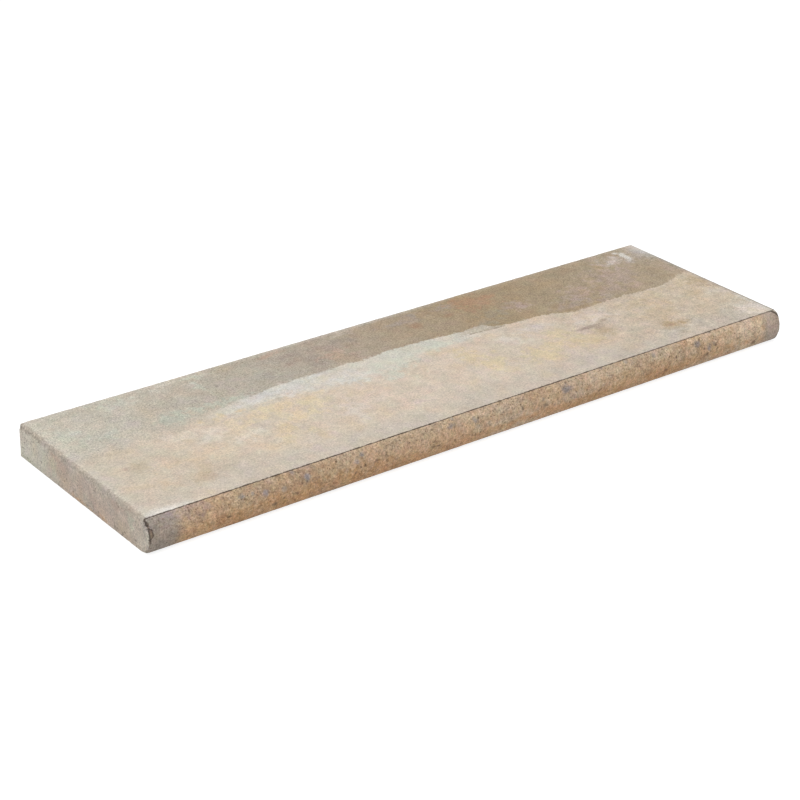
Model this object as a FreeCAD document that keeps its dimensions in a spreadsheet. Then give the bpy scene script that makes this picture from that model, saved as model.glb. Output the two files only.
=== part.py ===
import FreeCAD, Part
import math
import os

import Sketcher

# Pool coping stone: one slab of cast concrete with a rounded nose along one long side.
# It lies on its flat bed. X runs along the pool's edge, -Y points out over the water and +Z is up.
# The origin is the middle of the slab's footprint, on the bed.

# Driving sizes, lengths in millimetres and angles in degrees
SIZES = {
    # slab, end to end along the pool
    "slab_length": 1000.0,
    # slab, from the back face to the front of the nose
    "slab_width": 300.0,
    # slab, from the bed to the top face
    "slab_thickness": 45.0,
    # how far the nose bulges out past its upper and lower arris
    "nose_reach": 12.5,
    # slope below the level at which the nose leaves its upper arris
    "nose_start_angle": 15.0,
    # slope at which the nose's tight shoulder passes into its flatter crown
    "nose_join_angle": 57.0,
    # rounding of the top face's arris at the back and at both ends
    "top_edge_radius": 2.5,
}

# The nose is a shoulder arc, a crown arc and the same shoulder again, tangent where they meet.
# Half its height is shoulder * (cos start - cos join) + crown * cos join.
# Its reach is shoulder * (sin join - sin start) + crown * (1 - sin join).
# The two radii are the ones that satisfy both lines.
FALL = "(cos(nose_start_angle) - cos(nose_join_angle))"
SWELL = "(sin(nose_join_angle) - sin(nose_start_angle))"
REST = "(1 - sin(nose_join_angle))"
DIVISOR = f"(cos(nose_join_angle) * {SWELL} - {FALL} * {REST})"
DERIVED = {
    "shoulder_radius": f"(nose_reach * cos(nose_join_angle) - slab_thickness / 2 * {REST}) / {DIVISOR}",
    "crown_radius": f"(slab_thickness / 2 * {SWELL} - nose_reach * {FALL}) / {DIVISOR}",
}


def fill_sheet(doc):
    """Write each driving size and each derived radius in a row of its own, under its alias."""
    sheet = doc.addObject("Spreadsheet::Sheet", "Sizes")
    cells = {alias: str(value) for alias, value in SIZES.items()}
    cells.update({alias: f"={formula}" for alias, formula in DERIVED.items()})
    for row, (alias, content) in enumerate(cells.items(), start=1):
        sheet.set(f"A{row}", alias)
        sheet.set(f"B{row}", content)
        sheet.setAlias(f"B{row}", alias)
    doc.recompute()
    return sheet


def origin_plane(body, role):
    """The body's own origin plane of that role."""
    for feature in body.Origin.OriginFeatures:
        if feature.Role == role:
            return feature
    raise ValueError(f"no origin plane {role}")


def draw_section(body, sheet):
    """The slab's cross-section seen along X, with the nose on the left and the bed on the level axis."""
    sketch = body.newObject("Sketcher::SketchObject", "Section")
    sketch.AttachmentSupport = [(origin_plane(body, "YZ_Plane"), "")]
    sketch.MapMode = "FlatFace"

    back_place = sheet.slab_width / 2
    height = sheet.slab_thickness
    bed_width = sheet.slab_width - sheet.nose_reach
    arris_place = back_place - bed_width
    shoulder = sheet.shoulder_radius
    crown = sheet.crown_radius
    crown_place = back_place - crown
    start = math.radians(sheet.nose_start_angle)
    join = math.radians(sheet.nose_join_angle)
    up = math.pi / 2
    down = 3 * math.pi / 2
    normal = FreeCAD.Vector(0, 0, 1)

    def line(x1, y1, x2, y2):
        return sketch.addGeometry(Part.LineSegment(FreeCAD.Vector(x1, y1, 0), FreeCAD.Vector(x2, y2, 0)))

    def arc(x, y, radius, first_angle, last_angle):
        circle = Part.Circle(FreeCAD.Vector(x, y, 0), normal, radius)
        return sketch.addGeometry(Part.ArcOfCircle(circle, first_angle, last_angle))

    bed = line(arris_place, 0, back_place, 0)
    back = line(back_place, 0, back_place, height)
    top = line(back_place, height, arris_place, height)
    behind = arris_place + shoulder * math.sin(start)
    below = shoulder * math.cos(start)
    upper = arc(behind, height - below, shoulder, up + start, up + join)
    middle = arc(-crown_place, height / 2, crown, up + join, down - join)
    lower = arc(behind, below, shoulder, down - join, down - start)

    # the sketch's own origin is geometry -1, and a curve's start, end and centre are points 1, 2 and 3
    origin, first, last, centre = -1, 1, 2, 3

    def constrain(*arguments):
        return sketch.addConstraint(Sketcher.Constraint(*arguments))

    def dimension(name, formula, *arguments):
        sketch.renameConstraint(constrain(*arguments), name)
        sketch.setExpression(f"Constraints.{name}", formula)

    constrain("Coincident", bed, last, back, first)
    constrain("Coincident", back, last, top, first)
    constrain("Coincident", top, last, upper, first)
    constrain("Tangent", upper, last, middle, first)
    constrain("Tangent", middle, last, lower, first)
    constrain("Coincident", lower, last, bed, first)
    constrain("Horizontal", bed)
    constrain("Vertical", back)
    constrain("Horizontal", top)
    constrain("Vertical", top, last, bed, first)
    constrain("PointOnObject", bed, first, origin)
    constrain("Equal", upper, lower)

    dimension("height", "Sizes.slab_thickness", "DistanceY", back, first, back, last, height)
    dimension("back_place", "Sizes.slab_width / 2", "DistanceX", origin, first, back, first, back_place)
    dimension("bed_width", "Sizes.slab_width - Sizes.nose_reach", "DistanceX", bed, first, bed, last, bed_width)
    dimension("shoulder", "Sizes.shoulder_radius", "Radius", upper, shoulder)
    dimension("crown", "Sizes.crown_radius", "Radius", middle, crown)
    dimension(
        "crown_place", "Sizes.slab_width / 2 - Sizes.crown_radius",
        "DistanceX", middle, centre, origin, first, crown_place,
    )
    dimension(
        "crown_height", "Sizes.slab_thickness / 2",
        "DistanceY", origin, first, middle, centre, height / 2,
    )
    return sketch


def extrude_section(body, section):
    """The bare slab: the section carried equally far to both sides of its plane."""
    pad = body.newObject("PartDesign::Pad", "Slab")
    pad.Profile = section
    pad.SideType = "Symmetric"
    pad.setExpression("Length", "Sizes.slab_length")
    return pad


def round_top_edges(body, slab, sheet):
    """The slab with its top face rounded off at the back and both ends; the nose's arris stays crisp."""
    top = sheet.slab_thickness
    nose_arris = sheet.nose_reach - sheet.slab_width / 2
    near = 1e-6
    rim = []
    for number, edge in enumerate(slab.Shape.Edges, start=1):
        middle = edge.BoundBox.Center
        if abs(middle.z - top) < near and middle.y > nose_arris + near:
            rim.append(f"Edge{number}")

    fillet = body.newObject("PartDesign::Fillet", "TopEdges")
    fillet.Base = (slab, rim)
    fillet.setExpression("Radius", "Sizes.top_edge_radius")
    return fillet


def check_document(doc):
    """Stop if any object failed, or if a body has no valid shape."""
    for item in doc.Objects:
        if "Invalid" in item.State or "Error" in item.State:
            raise RuntimeError(f"{item.Name} failed: {item.State}")
        if item.TypeId == "PartDesign::Body" and (item.Shape.isNull() or not item.Shape.isValid()):
            raise RuntimeError(f"{item.Label} has no valid shape")


doc = FreeCAD.newDocument("PoolCopingStone")
sheet = fill_sheet(doc)

stone = doc.addObject("PartDesign::Body", "Stone")
stone.Label = "coping_stone"
section = draw_section(stone, sheet)
slab = extrude_section(stone, section)
doc.recompute()
stone.Tip = round_top_edges(stone, slab, sheet)
doc.recompute()
check_document(doc)

stone.Placement = FreeCAD.Placement()
os.makedirs("parts", exist_ok=True)
stone.Shape.exportStep(f"parts/{stone.Label}.step")
print(stone.Label, stone.Shape.BoundBox, f"volume {stone.Shape.Volume:.0f} mm3")
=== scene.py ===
import math

import bmesh
import bpy
import numpy as np
from mathutils import Matrix, Vector


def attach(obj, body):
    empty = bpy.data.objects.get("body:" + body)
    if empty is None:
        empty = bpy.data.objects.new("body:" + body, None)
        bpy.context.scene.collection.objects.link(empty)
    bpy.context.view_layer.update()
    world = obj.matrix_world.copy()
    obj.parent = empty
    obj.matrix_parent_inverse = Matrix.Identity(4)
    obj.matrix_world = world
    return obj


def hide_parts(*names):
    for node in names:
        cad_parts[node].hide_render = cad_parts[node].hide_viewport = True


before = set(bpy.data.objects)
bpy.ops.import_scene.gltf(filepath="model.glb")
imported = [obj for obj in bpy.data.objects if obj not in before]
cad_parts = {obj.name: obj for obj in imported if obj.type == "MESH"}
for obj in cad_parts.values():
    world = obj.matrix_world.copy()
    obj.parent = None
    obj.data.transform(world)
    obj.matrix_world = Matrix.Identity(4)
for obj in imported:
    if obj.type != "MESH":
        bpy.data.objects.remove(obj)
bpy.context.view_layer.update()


# The slab's body. One piece of cast concrete that caps a pool's rim, its rounded nose out over the water.
# It is poured in a mould, so every face but the top keeps small air pores, and its arrises crumble a little.
# It lies on its flat bed. The sizes in this section are in millimetres until the mesh is filled.
slab_length = 1000.0
slab_width = 300.0
slab_thickness = 45.0
nose_reach = 12.5
nose_start = math.radians(15.0)
nose_join = math.radians(57.0)
shoulder_radius = 12.823
crown_radius = 31.393
top_rounding = 2.5
bed_rounding = 0.8
left_top_wear = 4.0
left_bed_wear = 1.2
left_nose_wear = 2.4
left_foot_wear = 5.2
left_corner_wear = 0.5
corner_reach = 9.0
crumble_reach = 2.6
right_top_wear = 2.7
right_nose_wear = 1.0
right_corner_chip = 3.0
end_reach = 7.0
seam_above = 0.6
seam_below = 1.2
seam_sink = 0.6
stations = 430
crowding = 0.28
lattice_size = (61, 53, 47)
half_length = slab_length / 2
half_width = slab_width / 2
half_thickness = slab_thickness / 2
arris_y = nose_reach - half_width


def upper_outline():
    """The outline's upper half from the back face to the tip of the nose: y, z and the slope at each point.

    It is an arc of top_rounding, the level top, the nose's shoulder arc and half of its crown arc.
    On an arc of radius r about (a, b), slope s gives the point (a - r sin s, b + r cos s).
    """
    back_slope = np.linspace(-np.pi / 2, 0, 6)
    back_y = half_width - top_rounding - top_rounding * np.sin(back_slope)
    back_z = slab_thickness - top_rounding + top_rounding * np.cos(back_slope)

    top_y = np.linspace(half_width - top_rounding, arris_y + 2.4, 66)[1:]
    top_y = np.append(top_y, arris_y + np.array([1.0, 0.6, 0.3, 0.0]))
    top_z = np.full(len(top_y), slab_thickness)
    top_slope = np.append(np.zeros(len(top_y) - 1), nose_start / 2)

    shoulder_run = shoulder_radius * (nose_join - nose_start)
    whole_run = shoulder_run + crown_radius * (np.pi / 2 - nose_join)
    run = np.append([0.4, 0.8, 1.2], np.linspace(2.2, whole_run, 19))
    past = np.maximum(run - shoulder_run, 0)
    nose_slope = nose_start + (run - past) / shoulder_radius + past / crown_radius
    radius = np.where(past > 0, crown_radius, shoulder_radius)
    behind = np.where(past > 0, crown_radius - half_width, arris_y + shoulder_radius * np.sin(nose_start))
    below = np.where(past > 0, half_thickness, slab_thickness - shoulder_radius * np.cos(nose_start))
    nose_y = behind - radius * np.sin(nose_slope)
    nose_z = below + radius * np.cos(nose_slope)

    y = np.concatenate([back_y, top_y, nose_y])
    z = np.concatenate([back_z, top_z, nose_z])
    return y, z, np.concatenate([back_slope, top_slope, nose_slope])


def slab_outline():
    """The whole outline: y, z, its outward normal (ny, nz) and how far the left and right end round it off.

    The nose's lower half mirrors its upper half. The bed is level, with a small rounding to the back face:
    at a share p of that rounding's run the height is its radius times 1 - sqrt(1 - p squared).
    """
    y, z, slope = upper_outline()
    ny, nz = -np.sin(slope), np.cos(slope)
    past = np.clip((y - half_width + bed_rounding) / bed_rounding, 0, 1)
    cosine = np.sqrt(1 - past ** 2)
    on_bed = y > arris_y + 0.01
    low_z = np.where(on_bed, bed_rounding * (1 - cosine), slab_thickness - z)
    low_ny = np.where(on_bed, past, ny)
    low_nz = np.where(on_bed, -cosine, -nz)
    back_z = np.linspace(bed_rounding, slab_thickness - top_rounding, 15)[1:-1]

    all_y = np.concatenate([y, y[-2::-1], np.full(len(back_z), half_width)])
    all_z = np.concatenate([z, low_z[-2::-1], back_z])
    all_ny = np.concatenate([ny, low_ny[-2::-1], np.ones(len(back_z))])
    all_nz = np.concatenate([nz, low_nz[-2::-1], np.zeros(len(back_z))])

    heights = [0, half_thickness, slab_thickness - 6, slab_thickness - 2.5]
    on_nose = np.interp(all_y, [arris_y - 2, arris_y + 6], [1, 0])
    left = np.interp(all_z, heights, [left_bed_wear, 1.4, 1.6, left_top_wear])
    left = left + (np.interp(all_z, [1, 14], [left_foot_wear, left_nose_wear]) - left) * on_nose
    right = np.interp(all_z, heights, [bed_rounding, 1.0, 1.0, right_top_wear])
    right = right + (right_nose_wear - right) * on_nose
    right = right + (right_corner_chip - right) * on_nose * np.interp(all_z, [42, 44.5], [0, 1])
    return all_y, all_z, all_ny, all_nz, left, right


def lattice_noise(place, cell, seed):
    """Smooth noise from 0 to 1: chance values at the corners of cubes of side cell, mixed by weights.

    A corner's weight is the product, over the three directions, of p p (3 - 2 p), where p is 1 at the corner
    and 0 at the cube's far side.
    """
    chance = np.random.default_rng(seed).random(lattice_size)
    scaled = place / cell
    corner = np.floor(scaled).astype(int)
    part = scaled - corner
    part = part * part * (3 - 2 * part)
    total = np.zeros(place.shape[:-1])
    for step in np.ndindex(2, 2, 2):
        weight = np.prod(np.where(step, part, 1 - part), axis=-1)
        where = (corner + step) % lattice_size
        total += weight * chance[where[..., 0], where[..., 1], where[..., 2]]
    return total


def pore_depth(place, cell, least, most, seed):
    """Depth of round pores, at most 1: one sphere of chance centre and radius in each cube of side cell.

    At distance d from the centre of a sphere of radius r the depth is 1 - (d / r) squared, and 0 outside it.
    """
    chance = np.random.default_rng(seed).random(lattice_size + (4,))
    scaled = place / cell
    corner = np.floor(scaled).astype(int)
    depth = np.zeros(place.shape[:-1])
    for step in np.ndindex(3, 3, 3):
        cube = corner + step - 1
        where = cube % lattice_size
        drawn = chance[where[..., 0], where[..., 1], where[..., 2]]
        radius = least + (most - least) * drawn[..., 3] ** 3
        gap = np.linalg.norm((cube + drawn[..., :3]) * cell - place, axis=-1)
        depth = np.maximum(depth, 1 - (gap / radius) ** 2)
    return depth


def slab_surface():
    """The slab as one grid: its outline carried from the left end's middle line to the right end's.

    share grows from 0 on an end's middle line to 1 at its rim, turn goes through a quarter circle round the
    rim, and run_up goes on from there to end_reach, past the widest rounding. Points on the ends are
    middle + share (outline - inset normal - middle), with inset = rounding (1 - sin turn). From there the
    outline is carried straight along the slab: station s, from -1 to 1, lies at
    (1 + crowding) s - crowding s cubed of the way to each side.
    """
    y, z, ny, nz, left, right = slab_outline()
    rings = np.linspace(0, 1, 10)
    quarter = np.radians([18.0, 36.0, 54.0, 72.0, 90.0, 90.0, 90.0])
    end_rows = len(rings) + len(quarter)
    run_up = np.concatenate([np.zeros(end_rows - 2), [1 / 3, 2 / 3]])
    spread = np.linspace(-1, 1, stations)
    straight = (half_length - end_reach) * ((1 + crowding) * spread - crowding * spread ** 3)
    level = np.full(stations, np.pi / 2)
    flat = np.zeros(len(rings))
    share = np.concatenate([rings, np.ones(2 * len(quarter) + stations), rings[::-1]])[:, None]
    turn = np.concatenate([flat, quarter, level, quarter[::-1], flat])[:, None]
    side = np.concatenate([-np.ones(end_rows), np.zeros(stations), np.ones(end_rows)])[:, None]
    run_up = np.concatenate([run_up, np.zeros(stations), run_up[::-1]])[:, None]

    rounding = np.where(side < 0, left, right)
    inset = rounding * (1 - np.sin(turn))
    along = half_length - rounding + rounding * np.cos(turn)
    along = side * (along - run_up * (end_reach - rounding))
    along[end_rows:-end_rows] = straight[:, None]
    middle_y = np.clip(y, half_thickness - half_width, half_width - half_thickness)
    place = np.empty(along.shape + (3,))
    place[..., 0] = along
    place[..., 1] = middle_y + share * (y - inset * ny - middle_y)
    place[..., 2] = half_thickness + share * (z - inset * nz - half_thickness)

    facing = np.empty_like(place)
    facing[..., 0] = side * np.cos(turn)
    facing[..., 1] = np.sin(turn) * ny
    facing[..., 2] = np.sin(turn) * nz
    from_rim = np.where(share < 1, (1 - share) * half_thickness, half_length - np.abs(along))
    return place, facing, from_rim


def worn_depth(place, from_rim):
    """How far the skin has gone in: unevenness, crumbling, a worn corner, the seam and pores added up.

    At distance d from their arris or corner, crumbling and corner wear fade as exp(-(d / reach) squared).
    The seam is a half wave of a sine across its width.
    """
    x, y, z = place[..., 0], place[..., 1], place[..., 2]
    coarse = lattice_noise(place, cell=75.0, seed=1)
    middling = lattice_noise(place, cell=11.0, seed=2)
    fine = lattice_noise(place, cell=3.4, seed=3)
    crumbs = lattice_noise(place, cell=5.5, seed=4)

    on_top = (z > slab_thickness - 0.5) & (y > arris_y)
    on_nose = np.interp(y, [arris_y - 2.5, arris_y - 0.8], [1, 0])
    on_bed = np.clip(1 - z / 2, 0, 1) * (1 - on_nose)
    uneven = np.where(on_top, 0.16 * coarse + 0.05 * fine, 0.12 * coarse + 0.16 * middling + 0.14 * fine)
    uneven = uneven * (1 - 0.6 * on_bed)

    rim_wear = np.where(z > 38, np.where(x < 0, 1.8, 0.6), 0.5) + 0.3 * on_nose * (z > 12) * (x < 0)
    at_rim = np.exp(-(from_rim / crumble_reach) ** 2)
    back_arris = np.hypot(half_width - y, slab_thickness - z)
    at_back = 0.8 * np.exp(-(back_arris / crumble_reach) ** 2)
    crumbled = np.maximum(rim_wear * at_rim, at_back) * (0.15 + 0.85 * crumbs * fine ** 0.5)

    from_corner = np.sqrt((half_length + x) ** 2 + (half_width - y) ** 2 + (slab_thickness - z) ** 2)
    worn_corner = left_corner_wear * np.exp(-(from_corner / corner_reach) ** 2)

    seam_run = np.clip((arris_y + seam_above - y) / (seam_above + seam_below), 0, 1)
    seam = seam_sink * np.sin(np.pi * seam_run) * (z > 40) * (0.5 + 0.5 * fine)

    pores = pore_depth(place, cell=8.0, least=0.9, most=2.4, seed=5)
    pores = 0.75 * pores * np.where(on_top, 0.0, 1 - 0.7 * on_bed)
    return uneven + crumbled + worn_corner + seam + pores


def closed_mesh(name, grid):
    """A mesh from a grid whose rows close round on themselves, with the doubled points of its ends merged."""
    rows, round_count = grid.shape[:2]
    number = np.arange(rows * round_count).reshape(rows, round_count)
    beside = np.roll(number, -1, axis=1)
    faces = np.stack([number[:-1], beside[:-1], beside[1:], number[1:]], axis=-1).reshape(-1, 4)
    mesh = bpy.data.meshes.new(name)
    mesh.from_pydata(grid.reshape(-1, 3).tolist(), [], faces.tolist())
    same_place, no_length = 2e-6, 1e-7
    shell = bmesh.new()
    shell.from_mesh(mesh)
    bmesh.ops.remove_doubles(shell, verts=shell.verts, dist=same_place)
    bmesh.ops.dissolve_degenerate(shell, edges=shell.edges, dist=no_length)
    for face in shell.faces:
        face.smooth = True
    shell.to_mesh(mesh)
    shell.free()
    return mesh


place, facing, from_rim = slab_surface()
place = place - facing * worn_depth(place, from_rim)[..., None]
metres = 0.001
slab = bpy.data.objects.new("coping_slab", closed_mesh("coping_slab", place * metres))
bpy.context.scene.collection.objects.link(slab)
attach(slab, "root")
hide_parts("coping_stone")


# The concrete's skin. The top was stained by water and lime: its back half is dark and damp-looking, with a
# ragged tide line where the pale lime-bleached front begins. The nose shows the mix's ochre sand and dark
# grit, and the ends and back keep the grey cement skin of the mould. Places here are in millimetres too.
skin = bpy.data.materials.new("cast_concrete")


def emptied(owner):
    """The node tree of a material or a world, with nothing in it yet."""
    owner.use_nodes = True
    owner.node_tree.nodes.clear()
    return owner.node_tree


def paint(red, green, blue):
    """A colour as it looks on a screen, 0 to 255, made linear.

    A channel's share c of 255 becomes ((c + 0.055) / 1.055) to the power 2.4, or c / 12.92 up to 0.04045.
    """
    shares = [channel / 255 for channel in (red, green, blue)]
    return [s / 12.92 if s <= 0.04045 else ((s + 0.055) / 1.055) ** 2.4 for s in shares] + [1.0]


def add_node(kind, inputs, **settings):
    """Add a node to the tree, make its settings, and give each input its value, or a link from a socket."""
    made = tree.nodes.new(kind)
    for name, value in settings.items():
        setattr(made, name, value)
    for key, value in inputs.items():
        if isinstance(value, bpy.types.NodeSocket):
            tree.links.new(value, made.inputs[key])
        else:
            made.inputs[key].default_value = value
    return made


def arithmetic(operation, *terms):
    """One step of arithmetic on numbers or sockets."""
    return add_node("ShaderNodeMath", dict(enumerate(terms)), operation=operation).outputs[0]


def plus(first, second):
    """first + second."""
    return arithmetic("ADD", first, second)


def minus(first, second):
    """first - second."""
    return arithmetic("SUBTRACT", first, second)


def times(first, second):
    """first x second."""
    return arithmetic("MULTIPLY", first, second)


def larger(first, second):
    """The larger of the two."""
    return arithmetic("MAXIMUM", first, second)


def vector_step(operation, *terms):
    """One step of arithmetic on three numbers at once, as on places."""
    return add_node("ShaderNodeVectorMath", dict(enumerate(terms)), operation=operation).outputs[0]


def rise(value, start, end, least=0.0, most=1.0):
    """A smooth step from least to most while value goes from start to end, either way round.

    It stays between the two by itself, so that it needs no clamp.
    """
    inputs = {0: value, 1: start, 2: end, 3: least, 4: most}
    return add_node("ShaderNodeMapRange", inputs, interpolation_type="SMOOTHSTEP", clamp=False).outputs[0]


def blend(share, first, second, mode="MIX"):
    """The first colour where share is 0 and the second where it is 1."""
    inputs = {0: share, 6: first, 7: second}
    return add_node("ShaderNodeMix", inputs, data_type="RGBA", blend_type=mode).outputs[2]


def multiplied(first, second):
    """The two colours multiplied."""
    return blend(1.0, first, second, "MULTIPLY")


def shifted(x, y, z):
    """The place on the slab moved by a fixed step, so that two noises of one size don't match."""
    return vector_step("ADD", slab_place, (x, y, z))


def noise(size, detail=2.0, rough=0.5, at=None):
    """Noise about 0.5 with features up to size millimetres wide: its value and its three-fold colour."""
    vector = slab_place if at is None else at
    inputs = {"Vector": vector, "Scale": 1 / size, "Detail": detail, "Roughness": rough}
    made = add_node("ShaderNodeTexNoise", inputs)
    return made.outputs[0], made.outputs[1]


def ramp(value, stops):
    """A colour that goes through the stops in turn: (value from 0 to 1, colour)."""
    made = add_node("ShaderNodeValToRGB", {0: value})
    steps = made.color_ramp.elements
    steps[0].position, steps[0].color = stops[0]
    steps[1].position, steps[1].color = stops[-1]
    for position, colour in stops[1:-1]:
        steps.new(position).color = colour
    return made.outputs[0]


def grit(size, radius, share):
    """Uneven grains, one at most in each cell of that size: 1 inside a grain, for a share of the cells."""
    cells = add_node("ShaderNodeTexVoronoi", {"Vector": slab_place, "Scale": 1 / size})
    drawn = add_node("ShaderNodeSeparateColor", {0: cells.outputs["Color"]})
    chosen = rise(drawn.outputs[0], 1 - share, 1.02 - share)
    edge = times(radius / size, plus(drawn.outputs[1], 0.5))
    reach = plus(cells.outputs["Distance"], grain_break)
    inside = rise(minus(reach, edge), 0.06, -0.06)
    return times(inside, chosen)


def grey(value):
    """A number as a colour, the same in all three channels."""
    return add_node("ShaderNodeCombineColor", {0: value, 1: value, 2: value}).outputs[0]


def push(size, detail):
    """Noise about 0.5 in three directions, to push places about with."""
    drawn = add_node("ShaderNodeSeparateColor", {0: noise(size, detail, 0.6)[1]})
    return add_node("ShaderNodeCombineXYZ", {axis: drawn.outputs[axis] for axis in range(3)}).outputs[0]


tree = emptied(skin)
object_place = add_node("ShaderNodeTexCoord", {}).outputs["Object"]
enlarged = {0: object_place, "Scale": 1 / metres}
slab_place = add_node("ShaderNodeVectorMath", enlarged, operation="SCALE").outputs[0]
split_place = add_node("ShaderNodeSeparateXYZ", {0: slab_place})
x, y, z = split_place.outputs[0], split_place.outputs[1], split_place.outputs[2]
length_share = add_node("ShaderNodeMapRange", {0: x, 1: -half_length, 2: half_length}).outputs[0]
height_share = add_node("ShaderNodeMapRange", {0: z, 1: 0.0, 2: slab_thickness}).outputs[0]

# Places pushed about by noise, so that a stain's round edge turns ragged. Each last step takes the pushes'
# mean off again. Wide stains wander far and fade softly, close ones stay in place and have a crumbly edge.
wide_push = push(34.0, 3.0)
small_push = push(6.0, 2.0)
pushes = vector_step("MULTIPLY", small_push, (16.0, 16.0, 8.0))
pushes = vector_step("MULTIPLY_ADD", wide_push, (46.0, 36.0, 8.0), pushes)
wandered = vector_step("ADD", slab_place, pushes)
wandered = vector_step("ADD", wandered, (-31.0, -26.0, -8.0))
close_place = vector_step("MULTIPLY_ADD", small_push, (4.0, 4.0, 4.0), slab_place)
close_place = vector_step("ADD", close_place, (-2.0, -2.0, -2.0))
break_place = shifted(3.0, 50.0, 9.0)
soft_break = times(minus(noise(11.0, 1.5, 0.55, break_place)[0], 0.5), 3.4)
broken = times(minus(noise(9.0, 4.0, 0.85, break_place)[0], 0.5), 3.2)
grain_break = times(broken, 0.08)
wide = (wandered, soft_break)
close = (close_place, broken)


def stains(under, colour, strength, spots, core=0.1, faces="top", kind=wide):
    """Colour over the stains' spots, each faded from its core to its rim: (across, along, two half sizes).

    A spot reaches to where the distance from its middle, in shares of its half sizes and broken up by noise,
    is 1.35. Its two places are x and y on the top, x and z on the nose, and y and z on an end.
    """
    at, breaking = kind
    axes = {"top": (0, 1), "nose": (0, 2), "end": (1, 2)}[faces]
    cover = None
    for spot in spots:
        scale, offset = [0.0] * 3, [0.0] * 3
        for axis, middle, half_size in zip(axes, spot[:2], spot[2:]):
            scale[axis] = 1 / half_size
            offset[axis] = -middle / half_size
        near = vector_step("MULTIPLY_ADD", at, scale, offset)
        reach = add_node("ShaderNodeVectorMath", {0: near}, operation="LENGTH").outputs["Value"]
        spot_cover = rise(plus(reach, breaking), 1.35, core)
        cover = spot_cover if cover is None else larger(cover, spot_cover)
    return blend(times(cover, strength), under, colour)


# The tide line between the dark back and the pale front: its place along the slab, roughened
tide_points = [
    (-500, 18), (-420, 20), (-330, 34), (-300, 42), (-260, 46), (-225, 50), (-200, 54), (-185, 58),
    (-110, 57), (-60, 56), (-10, 58), (55, 55), (72, 51), (110, 51), (136, 52), (150, 38), (185, 32),
    (228, 30), (240, 27), (251, 19), (268, 14), (305, 15), (335, 15), (365, 16), (380, 13), (430, 12),
    (455, 18), (475, 25), (500, 31),
]
tide_curve = add_node("ShaderNodeFloatCurve", {1: length_share})
tide = tide_curve.mapping.curves[0]
tide.points[0].location = (0, tide_points[0][1] / 100)
tide.points[1].location = (1, tide_points[-1][1] / 100)
for across, depth in tide_points[1:-1]:
    tide.points.new((across + half_length) / slab_length, depth / 100)
for point in tide.points:
    point.handle_type = "VECTOR"
tide_curve.mapping.update()
tide_height = times(tide_curve.outputs[0], 100.0)
ragged = plus(times(noise(15.0, 3.0, 0.6)[0], 14.0), times(noise(4.0, 3.0, 0.8)[0], 14.0))
above_tide = minus(plus(y, ragged), plus(tide_height, 14.0))
softness = rise(x, -225.0, -400.0, 1.8, 26.0)
damp = rise(arithmetic("DIVIDE", above_tide, softness), -1.0, 1.0)

# The pale front: lime-bleached cream, warmer to the right, with a bluish lime bloom along the tide line
pale = ramp(length_share, [
    (0.0, paint(200, 188, 171)),
    (0.2, paint(205, 190, 172)),
    (0.55, paint(209, 194, 177)),
    (0.8, paint(205, 188, 169)),
    (1.0, paint(203, 187, 166)),
])
bloom_reach = times(rise(x, -330.0, -255.0), rise(x, 175.0, 90.0))
bloom_depth = times(rise(x, -185.0, -150.0, 22.0, 44.0), rise(x, 40.0, -30.0, 0.55, 1.0))
bloom = plus(plus(above_tide, times(broken, 14.0)), bloom_depth)
bloom = rise(bloom, -14.0, 10.0)
pale = blend(times(bloom, times(bloom_reach, 0.9)), pale, paint(208, 202, 190))
# The bloom at its whitest, and greener to the right of that
pale = stains(pale, paint(211, 206, 199), 0.95, [
    (-172, 38, 54, 18), (-100, 23, 34, 18), (-225, 44, 42, 9),
])
pale = stains(pale, paint(204, 201, 187), 0.9, [
    (-30, 30, 34, 26), (50, 38, 40, 14), (12, 50, 60, 8), (-45, 2, 22, 20),
])
# Ochre patches left of the middle, and then right of it
pale = stains(pale, paint(215, 198, 169), 0.9, [
    (-290, 2, 15, 22), (-226, 8, 28, 17), (-257, -3, 30, 9), (-214, -22, 20, 17), (-176, -6, 20, 23),
    (-192, -32, 20, 12), (-293, 20, 9, 8),
])
pale = stains(pale, paint(208, 191, 163), 0.9, [
    (-218, -82, 14, 22), (-240, -50, 12, 12), (-262, -68, 10, 20),
])
pale = stains(pale, paint(213, 193, 162), 0.9, [
    (-321, 26, 5, 6), (-265, 24, 7, 5), (-290, 26, 6, 7),
], kind=close)
pale = stains(pale, paint(211, 195, 165), 0.9, [
    (145, -68, 28, 23), (176, -54, 20, 14), (216, -60, 28, 23), (80, -52, 18, 30), (60, -12, 16, 22),
    (205, -28, 28, 13),
], core=0.3)
# Tan patches at the left, and rosier and paler ones in between and to the right
pale = stains(pale, paint(208, 190, 168), 0.85, [
    (-415, -45, 26, 14), (-355, -50, 28, 21), (-330, -46, 16, 22), (-430, -88, 18, 14),
    (-236, -112, 16, 18), (-285, -75, 16, 14),
])
pale = stains(pale, paint(214, 195, 176), 0.85, [(185, 24, 18, 6), (105, 14, 12, 12)])
pale = stains(pale, paint(215, 204, 189), 0.8, [
    (-290, -37, 36, 12), (-330, -10, 24, 24), (140, -4, 18, 16), (155, -26, 18, 10), (-365, 8, 24, 12),
])
pale = stains(pale, paint(214, 196, 181), 0.8, [
    (-118, -40, 30, 12), (-48, -60, 42, 12), (-70, -80, 26, 11),
])
pale = stains(pale, paint(212, 199, 188), 0.85, [
    (-150, -56, 16, 28), (190, 1, 32, 12), (288, -14, 30, 16), (255, -14, 22, 15),
])
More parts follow.
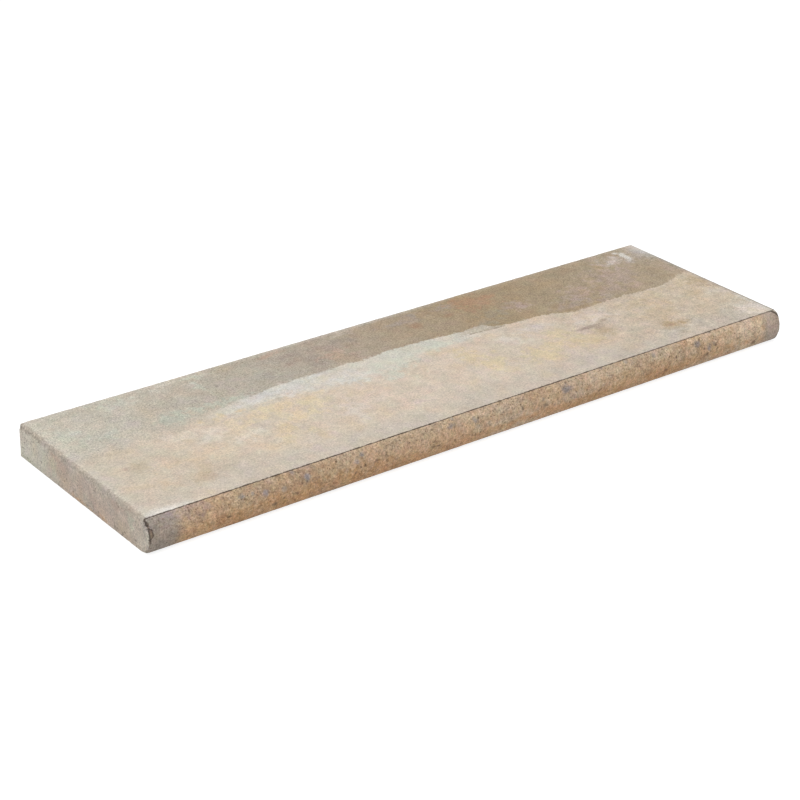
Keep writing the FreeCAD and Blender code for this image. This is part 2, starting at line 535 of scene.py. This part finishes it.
# Olive-tan patches at the right, paler ones near its edge, and greyer ones elsewhere
pale = stains(pale, paint(201, 183, 157), 0.9, [
    (358, -10, 34, 16), (370, -44, 26, 30), (445, -36, 22, 14), (395, -4, 26, 14), (448, 2, 26, 14),
])
pale = stains(pale, paint(190, 172, 144), 0.85, [(480, -4, 20, 20)])
pale = stains(pale, paint(217, 203, 185), 0.85, [(432, -122, 44, 18), (478, -46, 18, 12)])
pale = stains(pale, paint(196, 182, 166), 0.85, [(147, -116, 34, 18)])
pale = stains(pale, paint(202, 183, 153), 0.8, [(236, -66, 20, 14)])
pale = stains(pale, paint(195, 181, 163), 0.85, [
    (-380, -72, 20, 20), (-352, -92, 20, 12), (300, -76, 22, 14), (285, -92, 30, 10),
])
# A greyer band along the nose, and the pale front right corner
front_band = rise(plus(y, times(noise(28.0, 3.0)[0], 36.0)), -66.0, -92.0)
pale = blend(times(front_band, 0.85), pale, paint(199, 187, 172))
pale = stains(pale, paint(212, 200, 184), 0.85, [(482, -112, 26, 30)])
pale = stains(pale, paint(222, 211, 199), 0.9, [(480, -118, 26, 20)], core=0.4, kind=close)
# Darker marks: a brown streak and an olive spot at the right, and faint patches and specks to both sides
pale = stains(pale, paint(182, 164, 138), 0.9, [(262, -55, 20, 18)], kind=close)
pale = stains(pale, paint(168, 150, 136), 0.85, [
    (250, -36, 24, 5), (282, -30, 8, 4), (262, -44, 10, 4),
], kind=close)
pale = stains(pale, paint(186, 169, 147), 0.8, [(356, -102, 24, 18)])
pale = stains(pale, paint(176, 156, 124), 0.9, [(347, -91, 16, 13), (366, -94, 9, 8)], kind=close)
pale = stains(pale, paint(168, 140, 122), 0.7, [(347, -93, 7, 4)], kind=close)
pale = stains(pale, paint(186, 168, 144), 0.6, [
    (352, -58, 14, 18), (-392, -95, 24, 16), (-440, -30, 16, 16),
], kind=close)
pale = stains(pale, paint(170, 146, 136), 0.5, [(-456, -26, 4, 4), (485, -25, 4, 4)], kind=close)
# Painted highlight: glare on the front left corner of the top, painted nearly white
glare_far = times(plus(x, 494.0), 1 / 92)
glare_deep = times(plus(y, 138.0), 1 / 17)
glare = plus(arithmetic("POWER", glare_far, 2.0), arithmetic("POWER", glare_deep, 2.0))
glare = arithmetic("SQRT", glare)
glare = rise(plus(glare, times(broken, 0.25)), 1.05, 0.25)
pale = blend(times(glare, 0.9), pale, paint(226, 219, 210))

# The dark back: grey at the left, olive-brown towards the right
dark = ramp(length_share, [
    (0.0, paint(198, 190, 176)),
    (0.2, paint(186, 176, 161)),
    (0.4, paint(172, 159, 144)),
    (0.53, paint(168, 151, 129)),
    (0.66, paint(163, 143, 115)),
    (0.85, paint(169, 151, 126)),
    (1.0, paint(176, 159, 137)),
])
# Greenish and grey patches at the left
dark = stains(dark, paint(195, 193, 178), 0.9, [
    (-382, 128, 32, 18), (-250, 138, 24, 9), (-474, 84, 22, 28), (-432, 60, 20, 12), (-268, 116, 9, 22),
    (-303, 58, 24, 10),
])
dark = stains(dark, paint(189, 184, 169), 0.8, [(-483, 55, 18, 14), (-452, 138, 26, 12)])
dark = stains(dark, paint(204, 198, 185), 0.8, [(-303, 138, 28, 12)])
dark = stains(dark, paint(185, 185, 170), 0.9, [(-335, 52, 34, 14), (-268, 57, 38, 9)])
dark = stains(dark, paint(176, 168, 153), 0.85, [(-182, 78, 44, 30), (-200, 118, 42, 22)])
# Brown, rosy and rusty patches in the middle
dark = stains(dark, paint(164, 150, 137), 0.9, [
    (-112, 98, 34, 26), (-66, 118, 34, 16), (66, 122, 26, 14), (34, 124, 18, 9), (140, 125, 22, 9),
])
dark = stains(dark, paint(188, 175, 161), 0.7, [(-33, 140, 24, 9)])
dark = stains(dark, paint(184, 160, 144), 0.9, [(-75, 90, 24, 16), (-148, 136, 26, 7)])
dark = stains(dark, paint(169, 138, 111), 0.95, [
    (175, 114, 34, 22), (157, 134, 11, 8), (205, 122, 13, 8),
])
dark = stains(dark, paint(158, 130, 105), 0.8, [(66, 99, 11, 12), (122, 102, 12, 6)], kind=close)
dark = stains(dark, paint(160, 147, 127), 0.85, [(170, 70, 24, 13), (150, 50, 22, 9)])
# Rosy and olive patches at the right, and the paler back right corner
dark = stains(dark, paint(178, 158, 143), 0.95, [
    (400, 72, 42, 36), (366, 48, 28, 20), (302, 50, 36, 15), (320, 70, 22, 12), (220, 72, 18, 15),
])
dark = stains(dark, paint(168, 152, 137), 0.85, [(285, 30, 40, 12), (330, 25, 22, 9)])
dark = stains(dark, paint(166, 149, 124), 0.8, [(248, 48, 16, 10), (282, 56, 12, 8), (456, 56, 26, 34)])
dark = stains(dark, paint(188, 173, 159), 0.8, [(440, 116, 38, 20), (482, 122, 20, 24)])
dark = stains(dark, paint(202, 194, 185), 0.85, [(494, 128, 15, 32)], core=0.4, kind=close)
# White scuffs near the back right corner, and one dark speck at the left
dark = stains(dark, paint(210, 201, 192), 0.75, [
    (434, 117, 15, 5), (424, 111, 8, 3), (442, 128, 7, 5),
], kind=close)
dark = stains(dark, paint(222, 216, 207), 0.95, [
    (459, 117, 7, 14), (462, 128, 5, 8), (456, 136, 5, 5),
], kind=close)
dark = stains(dark, paint(212, 203, 194), 0.8, [(454, 104, 6, 6)], kind=close)
dark = stains(dark, paint(138, 130, 120), 0.8, [(-250, 99, 3, 5)], kind=close)
# A thin dark line forks off the tide line to its right end, with a browner wedge between the two
fork = times(rise(x, 84.0, 104.0), rise(x, 166.0, 156.0))
fork = times(fork, rise(noise(5.0, 2.0, 0.7)[0], 0.36, 0.5))
fork_line = minus(plus(y, times(x, 0.08)), 45.5)
fork_line = plus(fork_line, times(broken, 3.0))
wedge = times(fork, rise(fork_line, -1.0, 2.5, 0.0, 0.6))
pale = blend(wedge, pale, paint(172, 160, 142))
fork_edge = times(fork, rise(arithmetic("ABSOLUTE", fork_line), 2.6, 0.6))
pale = blend(times(fork_edge, 0.75), pale, paint(146, 132, 114))
top_colour = blend(damp, pale, dark)

# Near its edges the top is worn paler, and its left arris is crumbled back to the grey body. Its right edge
# carries painted shade of its rounded arris, a grey band towards the nose and a thin dark line, with a
# painted highlight line beside it towards the nose
edge_push = times(noise(9.0, 3.0)[0], 8.0)
left_edge = rise(minus(x, edge_push), -484.0, -496.0)
back_edge = times(rise(plus(y, edge_push), 142.0, 152.0), rise(x, 200.0, 0.0, 0.3, 1.0))
back_end = rise(y, 80.0, 120.0)
top_colour = blend(times(left_edge, 0.45), top_colour, paint(203, 195, 182))
top_colour = blend(times(back_edge, 0.7), top_colour, paint(198, 190, 178))
crumbs = times(minus(noise(4.5, 3.0, 0.7)[0], 0.5), 7.0)
left_arris = rise(plus(x, crumbs), -494.6, -496.0)
top_colour = blend(times(left_arris, 0.8), top_colour, paint(180, 168, 154))
# Painted shade: a grey band along the rounded right arris towards the nose, paler towards the back
right_shade_band = rise(plus(x, edge_push), 492.0, 501.0)
right_shade_colour = blend(back_end, paint(178, 167, 155), paint(206, 200, 192))
top_colour = blend(times(right_shade_band, 0.7), top_colour, right_shade_colour)
# Painted highlight: a pale line just inside the right edge, towards the nose
painted_highlight_line = times(rise(x, 488.5, 490.5), times(rise(x, 495.5, 493.5), rise(y, -50.0, -75.0)))
top_colour = blend(times(painted_highlight_line, 0.8), top_colour, paint(212, 204, 192))
# Painted shade: a thin dark line along the right arris, away from the back
right_shade_line = times(rise(x, 495.5, 497.5), minus(1.0, back_end))
top_colour = blend(times(right_shade_line, 0.9), top_colour, paint(138, 130, 119))

# The nose: ochre sand, browner towards the bed, with grey cement left at both ends
nose_colour = ramp(height_share, [
    (0.0, paint(196, 158, 120)),
    (0.2, paint(196, 158, 119)),
    (0.36, paint(195, 157, 119)),
    (0.56, paint(197, 165, 132)),
    (0.8, paint(188, 165, 138)),
    (1.0, paint(185, 165, 142)),
])
# Orange patches low down, darker ones under the arris, and pale ones, palest towards the right
nose_colour = stains(nose_colour, paint(180, 135, 88), 0.85, [
    (-400, 14, 50, 12), (-300, 16, 80, 18), (-225, 14, 70, 16), (-130, 9, 60, 9), (150, 12, 60, 7),
    (290, 13, 60, 7), (415, 14, 30, 6),
], faces="nose")
nose_colour = stains(nose_colour, paint(164, 136, 110), 0.8, [
    (-363, 41, 30, 10), (-421, 38, 28, 13), (-310, 37, 90, 9), (-268, 41, 24, 6), (-31, 41, 20, 5),
    (329, 41, 20, 6), (62, 41, 20, 5), (-262, 5, 40, 8),
], faces="nose")
nose_colour = stains(nose_colour, paint(206, 188, 166), 0.75, [
    (10, 38, 30, 7), (-40, 40, 50, 6), (280, 40, 30, 6), (170, 38, 50, 7), (20, 25, 60, 7),
    (130, 24, 60, 6), (329, 29, 20, 7), (45, 5, 50, 8), (370, 5, 50, 8),
], faces="nose")
nose_colour = stains(nose_colour, paint(224, 204, 178), 0.95, [
    (425, 38, 44, 16), (445, 24, 34, 16), (370, 42, 30, 8), (436, 5, 44, 12), (455, 34, 14, 16),
], faces="nose")
# Faint patches, a little paler and a little darker than the rest
nose_colour = stains(nose_colour, paint(226, 198, 160), 0.3, [
    (312, 30, 15, 17), (392, 20, 11, 8), (456, 13, 11, 7), (-24, 25, 13, 10), (-136, 13, 13, 7),
    (72, 36, 12, 7), (408, 7, 13, 7), (-104, 20, 11, 7), (-442, 12, 20, 8),
], faces="nose")
nose_colour = stains(nose_colour, paint(112, 84, 62), 0.18, [
    (250, 28, 28, 8), (488, 15, 13, 11), (344, 12, 13, 7), (-224, 36, 20, 7), (-360, 12, 13, 7),
    (-256, 12, 24, 8), (120, 28, 13, 8), (-56, 36, 13, 8), (-312, 20, 13, 8),
], faces="nose")


def sand(size):
    """The colours of the mix's sand, one drawn by chance for each cell of that size."""
    cells = add_node("ShaderNodeTexVoronoi", {"Vector": slab_place, "Scale": 1 / size})
    drawn = add_node("ShaderNodeSeparateColor", {0: cells.outputs["Color"]}).outputs[0]
    return ramp(drawn, [
        (0.0, paint(106, 80, 58)),
        (0.14, paint(148, 122, 98)),
        (0.35, paint(184, 151, 118)),
        (0.6, paint(198, 166, 134)),
        (0.82, paint(218, 194, 164)),
        (0.92, paint(204, 166, 136)),
        (1.0, paint(160, 147, 132)),
    ])


# Two sizes of sand, single slate-grey and dark brown stones, and the grey cement of both ends
nose_colour = blend(0.35, nose_colour, sand(2.3))
nose_colour = blend(0.1, nose_colour, sand(5.5))
nose_colour = stains(nose_colour, paint(138, 132, 134), 0.75, [
    (-375, 37, 5, 3), (-343, 32, 5, 4), (-285, 35, 6, 4), (-205, 39, 4, 3), (-215, 33, 4, 3),
    (-72, 37, 6, 3), (-33, 33, 4, 4), (115, 36, 10, 5), (345, 37, 6, 4), (365, 28, 4, 5),
], faces="nose", kind=close)
nose_colour = stains(nose_colour, paint(112, 92, 74), 0.8, [
    (-395, 19, 3, 2), (-332, 14, 4, 3), (-195, 20, 3, 2), (-171, 30, 3, 3), (-100, 19, 4, 2),
    (-92, 19, 3, 2), (41, 30, 3, 3), (77, 25, 5, 3), (360, 18, 5, 3), (285, 15, 4, 3), (452, 13, 4, 5),
    (-185, 27, 5, 3),
], faces="nose", kind=close)
ragged_along = plus(x, times(broken, 7.0))
nose_left = rise(ragged_along, -448.0, -472.0)
nose_colour = blend(times(nose_left, 0.9), nose_colour, paint(154, 144, 134))
nose_colour = stains(nose_colour, paint(160, 140, 140), 0.45, [(-444, 41, 25, 9)], core=0.3, faces="nose")
nose_right = rise(ragged_along, 460.0, 482.0)
nose_colour = blend(times(nose_right, 0.85), nose_colour, paint(172, 157, 145))

# Dark grit and small open pores all over the nose, thickest in its upper half
crowded = rise(noise(24.0, 2.0)[0], 0.36, 0.62)
grit_reach = times(rise(height_share, 0.1, 0.6, 0.5, 1.0), plus(times(crowded, 0.6), 0.4))
not_right = minus(1.0, nose_right)
grit_reach = times(grit_reach, not_right)
slate = times(grit(15.0, 3.6, 0.4), rise(z, 20.0, 32.0))
slate = times(slate, not_right)
nose_colour = blend(times(slate, 0.4), nose_colour, paint(138, 134, 138))
middle_grit = times(grit(6.5, 1.3, 0.5), grit_reach)
nose_colour = blend(times(middle_grit, 0.75), nose_colour, paint(114, 93, 74))
small_grit = times(grit(3.0, 0.75, 0.65), grit_reach)
nose_colour = blend(times(small_grit, 0.75), nose_colour, paint(110, 87, 64))
# Faint rings in the grey of the right end
swirl_across = arithmetic("POWER", minus(x, 492.0), 2.0)
swirl_up = arithmetic("POWER", minus(z, 20.0), 2.0)
swirl = plus(times(arithmetic("SQRT", plus(swirl_across, swirl_up)), 1.9), broken)
swirl = times(times(arithmetic("SINE", swirl), nose_right), 0.07)
nose_colour = multiplied(nose_colour, grey(plus(1.0, swirl)))

# The seam: a dark joint line along the nose's upper arris, where the mould's two halves met. Its colour is
# dirt and painted shade of the shallow groove
seam_half = plus(times(noise(6.0, 3.0, 0.8)[0], 2.6), -0.5)
seam_gap = arithmetic("ABSOLUTE", minus(y, arris_y - 0.35))
seam_dirt_and_shade = times(rise(minus(seam_gap, seam_half), 0.25, -0.25), rise(z, 34.0, 40.0))

# The ends and the back: the grey cement skin of the mould
end_colour = ramp(add_node("ShaderNodeMapRange", {0: y, 1: 150.0, 2: -150.0}).outputs[0], [
    (0.0, paint(217, 209, 194)),
    (0.22, paint(208, 200, 184)),
    (0.34, paint(198, 183, 169)),
    (0.6, paint(197, 181, 168)),
    (0.88, paint(195, 181, 167)),
    (1.0, paint(208, 197, 183)),
])
end_colour = stains(end_colour, paint(198, 196, 178), 0.8, [
    (66, 22, 10, 18), (-112, 30, 10, 14), (120, 4, 24, 5),
], faces="end")
end_colour = stains(end_colour, paint(190, 170, 154), 0.8, [
    (62, 38, 16, 8), (-80, 36, 20, 8), (48, 24, 14, 14),
], faces="end")
end_colour = stains(end_colour, paint(200, 170, 140), 0.7, [
    (15, 4, 9, 5), (-48, 5, 12, 4), (-15, 3, 28, 3),
], faces="end")
end_colour = stains(end_colour, paint(150, 136, 122), 0.8, [(-71, 8, 5, 5)], faces="end")
end_pores = grit(6.0, 1.1, 0.35)
end_colour = blend(times(end_pores, 0.6), end_colour, paint(128, 116, 104))
ragged_height = plus(z, times(broken, 2.5))
crumbly = rise(ragged_height, 38.5, 42.0)
end_colour = blend(times(crumbly, 0.6), end_colour, paint(206, 195, 180))
crumb_holes = times(grit(4.4, 1.2, 0.5), rise(ragged_height, 36.0, 40.0))
end_colour = blend(times(crumb_holes, 0.6), end_colour, paint(122, 108, 94))

on_nose = rise(y, arris_y + 0.1, arris_y - 0.2)
colour = blend(on_nose, top_colour, nose_colour)
# The seam's dark line: dirt and painted shade of its groove
colour = blend(times(seam_dirt_and_shade, rise(x, 100.0, 320.0, 0.9, 0.76)), colour, paint(70, 57, 46))
edge_wander = times(noise(2.5, 2.0)[0], 1.6)
side_reach = plus(plus(arithmetic("ABSOLUTE", x), edge_wander), times(on_nose, 0.05))
on_side = rise(side_reach, half_length - 0.3, half_length + 0.6)
on_back = rise(plus(y, edge_wander), half_width - 0.3, half_width + 0.6)
on_bed = rise(z, 1.2, 0.3)
apart = larger(on_side, larger(on_back, on_bed))

# A dark crust where the nose broke away from the mould: down its left end and at its right upper corner. It
# is crust colour together with painted shade of its recess, near-black where that painted shade is deepest
crust_shade_noise = times(minus(noise(3.4, 3.0, 0.95, shifted(40.0, 8.0, 2.0))[0], 0.5), 8.5)
crust_shade_swell = times(rise(z, 21.0, 28.0), rise(z, 36.5, 33.0))
crust_shade_reach = plus(crust_shade_noise, plus(3.0, times(crust_shade_swell, 3.2)))
inside = minus(crust_shade_reach, plus(x, half_length))
crust_and_shade = times(rise(inside, -0.5, 0.5), rise(z, 12.0, 20.0))
corner_run = minus(arris_y, y)
corner_line = minus(minus(x, 490.0), times(corner_run, 1.1))
corner_thin = plus(arithmetic("ABSOLUTE", corner_line), times(corner_run, 0.14))
corner = times(rise(corner_thin, 3.4, 2.2), rise(corner_run, 10.0, 7.5))
corner_rim = times(rise(corner_line, 1.2, 2.2), times(on_nose, rise(corner_run, 12.0, 8.0)))
colour = blend(times(corner_rim, 0.8), colour, paint(190, 180, 167))
crust_and_shade = times(larger(crust_and_shade, corner), times(on_nose, minus(1.0, on_side)))
# The core: painted shade, deepest in the crust's recess, together with dark spots of crust
crust_and_shade_core = times(times(rise(inside, 1.2, 2.2), crust_shade_swell), rise(x, -498.4, -497.2))
crust_and_shade_core = larger(crust_and_shade_core, times(rise(noise(2.0, 2.0, 0.8)[0], 0.52, 0.62), 0.6))
crust_and_shade_colour = blend(crust_and_shade_core, paint(72, 62, 54), paint(138, 118, 100))
colour = blend(times(crust_and_shade, 0.9), colour, crust_and_shade_colour)
colour = blend(apart, colour, end_colour)

# The left arris is crumbled: pale and dark specks of broken cement all along it
arris_near = times(rise(minus(z, x), 535.0, 539.0), minus(1.0, on_nose))
specks = noise(2.6, 2.0, 0.85, shifted(2.0, 6.0, 14.0))[0]
dark_specks = times(arris_near, rise(specks, 0.55, 0.64))
colour = blend(times(dark_specks, 0.4), colour, paint(132, 118, 104))
pale_specks = times(arris_near, rise(specks, 0.45, 0.36))
colour = blend(times(pale_specks, 0.6), colour, paint(216, 207, 192))

# Mottling and grain all over: the grain is stronger on the nose, the ends and the back face, on the dark back
# of the top, and towards the right of its pale front
mottle = blend(0.09, (1.08, 1.09, 1.1, 1.0), noise(20.0, 2.0, 0.5)[1])
colour = multiplied(colour, mottle)
tints = ramp(noise(30.0, 2.0, 0.5, shifted(12.0, 31.0, 4.0))[0], [
    (0.3, (1.0, 0.965, 0.9, 1.0)),
    (0.42, (0.985, 0.96, 0.95, 1.0)),
    (0.5, (0.97, 0.97, 0.955, 1.0)),
    (0.58, (0.955, 0.97, 0.965, 1.0)),
    (0.7, (0.965, 0.955, 1.0, 1.0)),
])
colour = multiplied(colour, tints)
nose_mottle = blend(0.17, (1.1, 1.1, 1.1, 1.0), noise(7.0, 2.0, 0.6, shifted(9.0, 5.0, 30.0))[1])
colour = blend(on_nose, colour, multiplied(colour, nose_mottle))
rough_skin = larger(on_nose, apart)
fine_grain = minus(noise(2.2, 2.0, 0.9, shifted(7.0, 3.0, 1.0))[0], 0.5)
coarse_grain = minus(noise(20.0, 3.0, 0.95, shifted(1.0, 13.0, 5.0))[0], 0.5)
coarse_share = times(rise(x, 180.0, 380.0, 0.6, 0.8), minus(1.0, times(damp, 0.3)))
grain = plus(times(fine_grain, 1.15), times(coarse_grain, coarse_share))
bare = minus(1.0, damp)
strong = plus(times(damp, 0.65), times(bare, rise(x, 200.0, 380.0, 0.05, 0.3)))
strong = add_node("ShaderNodeMix", {0: rough_skin, 2: strong, 3: 0.6}).outputs[0]
grain = plus(1.0, times(grain, plus(1.0, strong)))
colour = multiplied(colour, grey(grain))

relief = plus(fine_grain, times(coarse_grain, 1.2))
relief = minus(relief, times(times(on_nose, middle_grit), 0.5))
bump = add_node("ShaderNodeBump", {"Strength": 0.6, "Distance": 0.0006, "Height": relief}).outputs[0]
roughness = rise(noise(14.0, 3.0)[0], 0.3, 0.7, 0.72, 0.9)
shader = add_node("ShaderNodeBsdfPrincipled", {
    "Base Color": colour,
    "Roughness": roughness,
    "Normal": bump,
    "Specular IOR Level": 0.35,
})
add_node("ShaderNodeOutputMaterial", {"Surface": shader.outputs[0]})
slab.data.materials.append(skin)


# The studio: a plain white floor under a big soft lamp, with plain even light from all round
plain_white = (1.0, 1.0, 1.0, 1.0)
floor_half = 30.0
sides = [(-1, -1), (1, -1), (1, 1), (-1, 1)]
floor_corners = [(across * floor_half, along * floor_half, 0.0) for across, along in sides]
floor_mesh = bpy.data.meshes.new("studio_floor")
floor_mesh.from_pydata(floor_corners, [], [(0, 1, 2, 3)])
floor = bpy.data.objects.new("studio_floor", floor_mesh)
bpy.context.scene.collection.objects.link(floor)


def seen_ray():
    """1 where the camera sees a surface, also in a gloss or through glass, and 0 where light meets it."""
    rays = add_node("ShaderNodeLightPath", {})
    seen = larger(rays.outputs["Is Camera Ray"], rays.outputs["Is Glossy Ray"])
    return larger(seen, rays.outputs["Is Transmission Ray"])


floor_paint = bpy.data.materials.new("studio_floor")
tree = emptied(floor_paint)
seen = seen_ray()
card = add_node("ShaderNodeBsdfDiffuse", {"Color": (0.8, 0.8, 0.8, 1.0)})
shaded = add_node("ShaderNodeBsdfDiffuse", {"Color": (0.38, 0.38, 0.38, 1.0)})
glow = add_node("ShaderNodeEmission", {"Color": plain_white, "Strength": 0.82})
white = add_node("ShaderNodeAddShader", {0: shaded.outputs[0], 1: glow.outputs[0]})
floor_mix = add_node("ShaderNodeMixShader", {0: seen, 1: card.outputs[0], 2: white.outputs[0]})
add_node("ShaderNodeOutputMaterial", {"Surface": floor_mix.outputs[0]})
floor.data.materials.append(floor_paint)

world = bpy.data.worlds.new("studio")
bpy.context.scene.world = world
tree = emptied(world)
seen = seen_ray()
room = add_node("ShaderNodeBackground", {"Color": plain_white, "Strength": 0.55})
backdrop = add_node("ShaderNodeBackground", {"Color": plain_white, "Strength": 1.0})
world_mix = add_node("ShaderNodeMixShader", {0: seen, 1: room.outputs[0], 2: backdrop.outputs[0]})
add_node("ShaderNodeOutputWorld", {"Surface": world_mix.outputs[0]})

lamp_data = bpy.data.lights.new("soft_lamp", "AREA")
lamp_data.shape = "DISK"
lamp_data.size = 2.4
lamp_data.energy = 36.0
lamp = bpy.data.objects.new("soft_lamp", lamp_data)
lamp_place = Vector((-0.6, -0.5, 2.4))
lamp.location = lamp_place
lamp.rotation_euler = (-lamp_place).to_track_quat("-Z", "Y").to_euler()
bpy.context.scene.collection.objects.link(lamp)


# The camera: a long lens that looks down on the slab from the left of its nose
azimuth, elevation, roll = (math.radians(angle) for angle in (-37.802, 26.199, 1.095))
aim = Vector((-0.03166, 0.00689, 0.0))
distance = 2.7234
focal_pixels = 2123.1
picture_width = 800
backward = Vector((
    math.sin(azimuth) * math.cos(elevation),
    -math.cos(azimuth) * math.cos(elevation),
    math.sin(elevation),
))
right = (-backward).cross(Vector((0, 0, 1))).normalized()
up = right.cross(-backward)
level = Matrix((right, up, backward)).transposed()
turned = level @ Matrix.Rotation(roll, 3, "Z")
camera_data = bpy.data.cameras.new("camera")
camera_data.sensor_width = 36.0
camera_data.lens = focal_pixels / picture_width * camera_data.sensor_width
camera_data.clip_end = 100.0
camera = bpy.data.objects.new("camera", camera_data)
camera.matrix_world = Matrix.Translation(aim + backward * distance) @ turned.to_4x4()
bpy.context.scene.collection.objects.link(camera)
bpy.context.scene.camera = camera
bpy.context.scene.view_settings.view_transform = "Standard"
